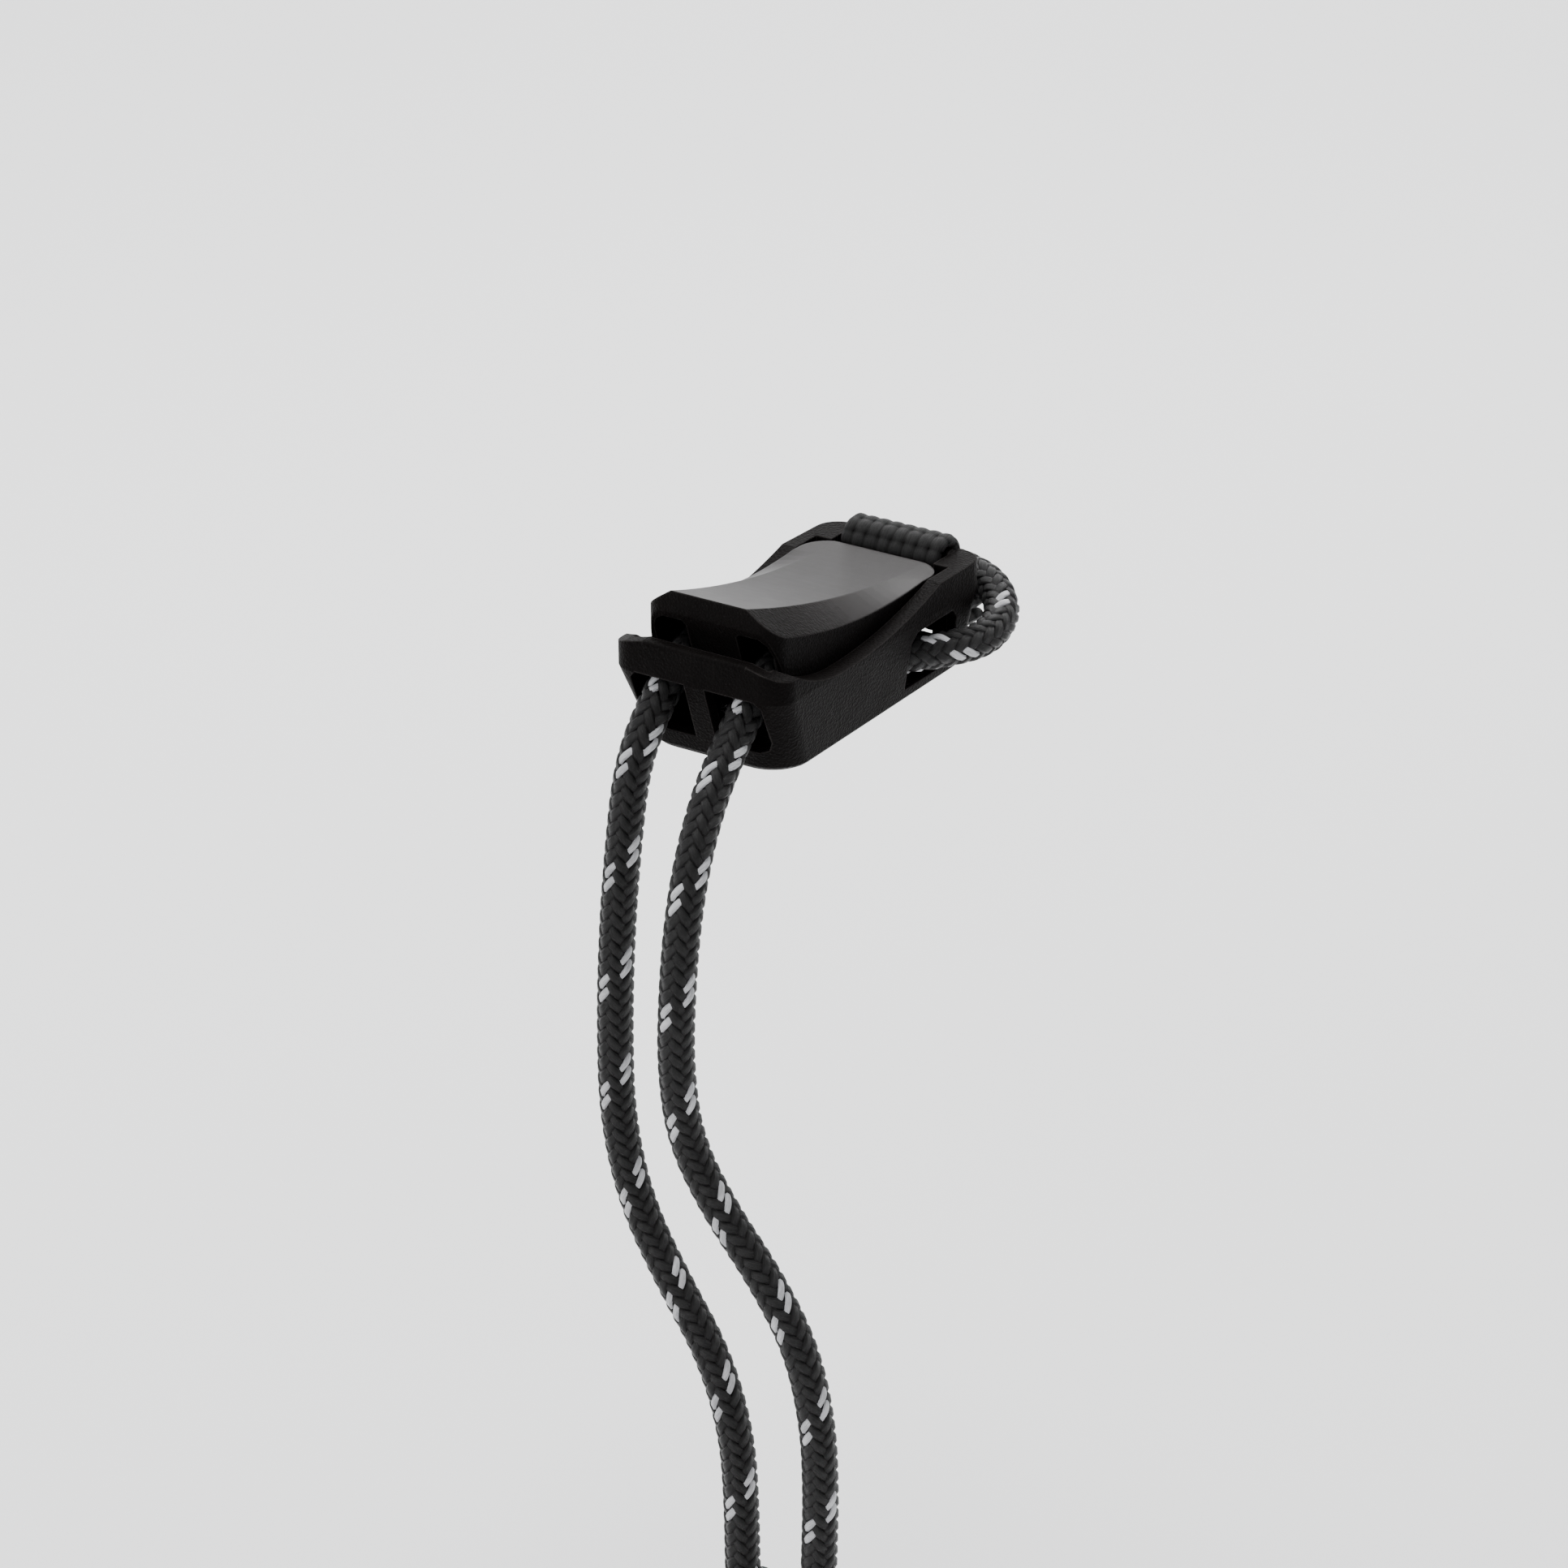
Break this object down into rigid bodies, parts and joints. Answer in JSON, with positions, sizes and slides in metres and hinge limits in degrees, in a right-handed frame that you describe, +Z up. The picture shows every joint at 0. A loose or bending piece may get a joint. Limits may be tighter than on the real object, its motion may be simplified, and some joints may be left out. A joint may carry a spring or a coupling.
{
  "type": "cord lock",
  "caption": "Lever cord lock: a scooped tray with a sprung thumb lever that grips two runs of a drawcord, held by a folded anchor tape at the rear.",
  "frame": {"origin": "centre of the tray's flat underside, halfway between the lip and the rear end", "axes": "+Z up out of the tray, -Y towards the front lip where the cord tails leave, +X across"},
  "size_m": [0.0295, 0.0465, 0.0909],
  "materials": {
    "housing_plastic": "fine spark texture",
    "lever_plastic": "satin thumb face",
    "pin_steel": "plain",
    "spring_steel": "plain",
    "webbing": "coarse woven tape",
    "thread": "sewing thread",
    "braided_cord": "braid with pale reflective flecks",
    "sealed_tip": "heat-sealed cord end"
  },
  "bodies": {
    "base": {"base_housing": "housing_plastic", "hinge_pin": "pin_steel", "return_spring": "spring_steel", "webbing_anchor": "webbing", "bar_tack": "thread", "inner_right": "braided_cord", "inner_left": "braided_cord", "tail_right": "braided_cord", "tail_left": "braided_cord", "cord_loop": "braided_cord", "knot_right": "braided_cord", "knot_left": "braided_cord", "tip_right": "sealed_tip", "tip_left": "sealed_tip"},
    "lever": {"thumb_lever": "lever_plastic"}
  },
  "joints": [
    {"name": "lever_press", "type": "hinge", "parent": "base", "child": "lever", "pos_m": [0, 0.0093, 0.0069], "axis": [1, 0, 0], "range_deg": [0, 9.2], "stiffness_Nm_per_rad": 0.15, "springref_deg": -8.59, "deforming": ["return_spring", "inner_left", "inner_right"]}
  ]
}
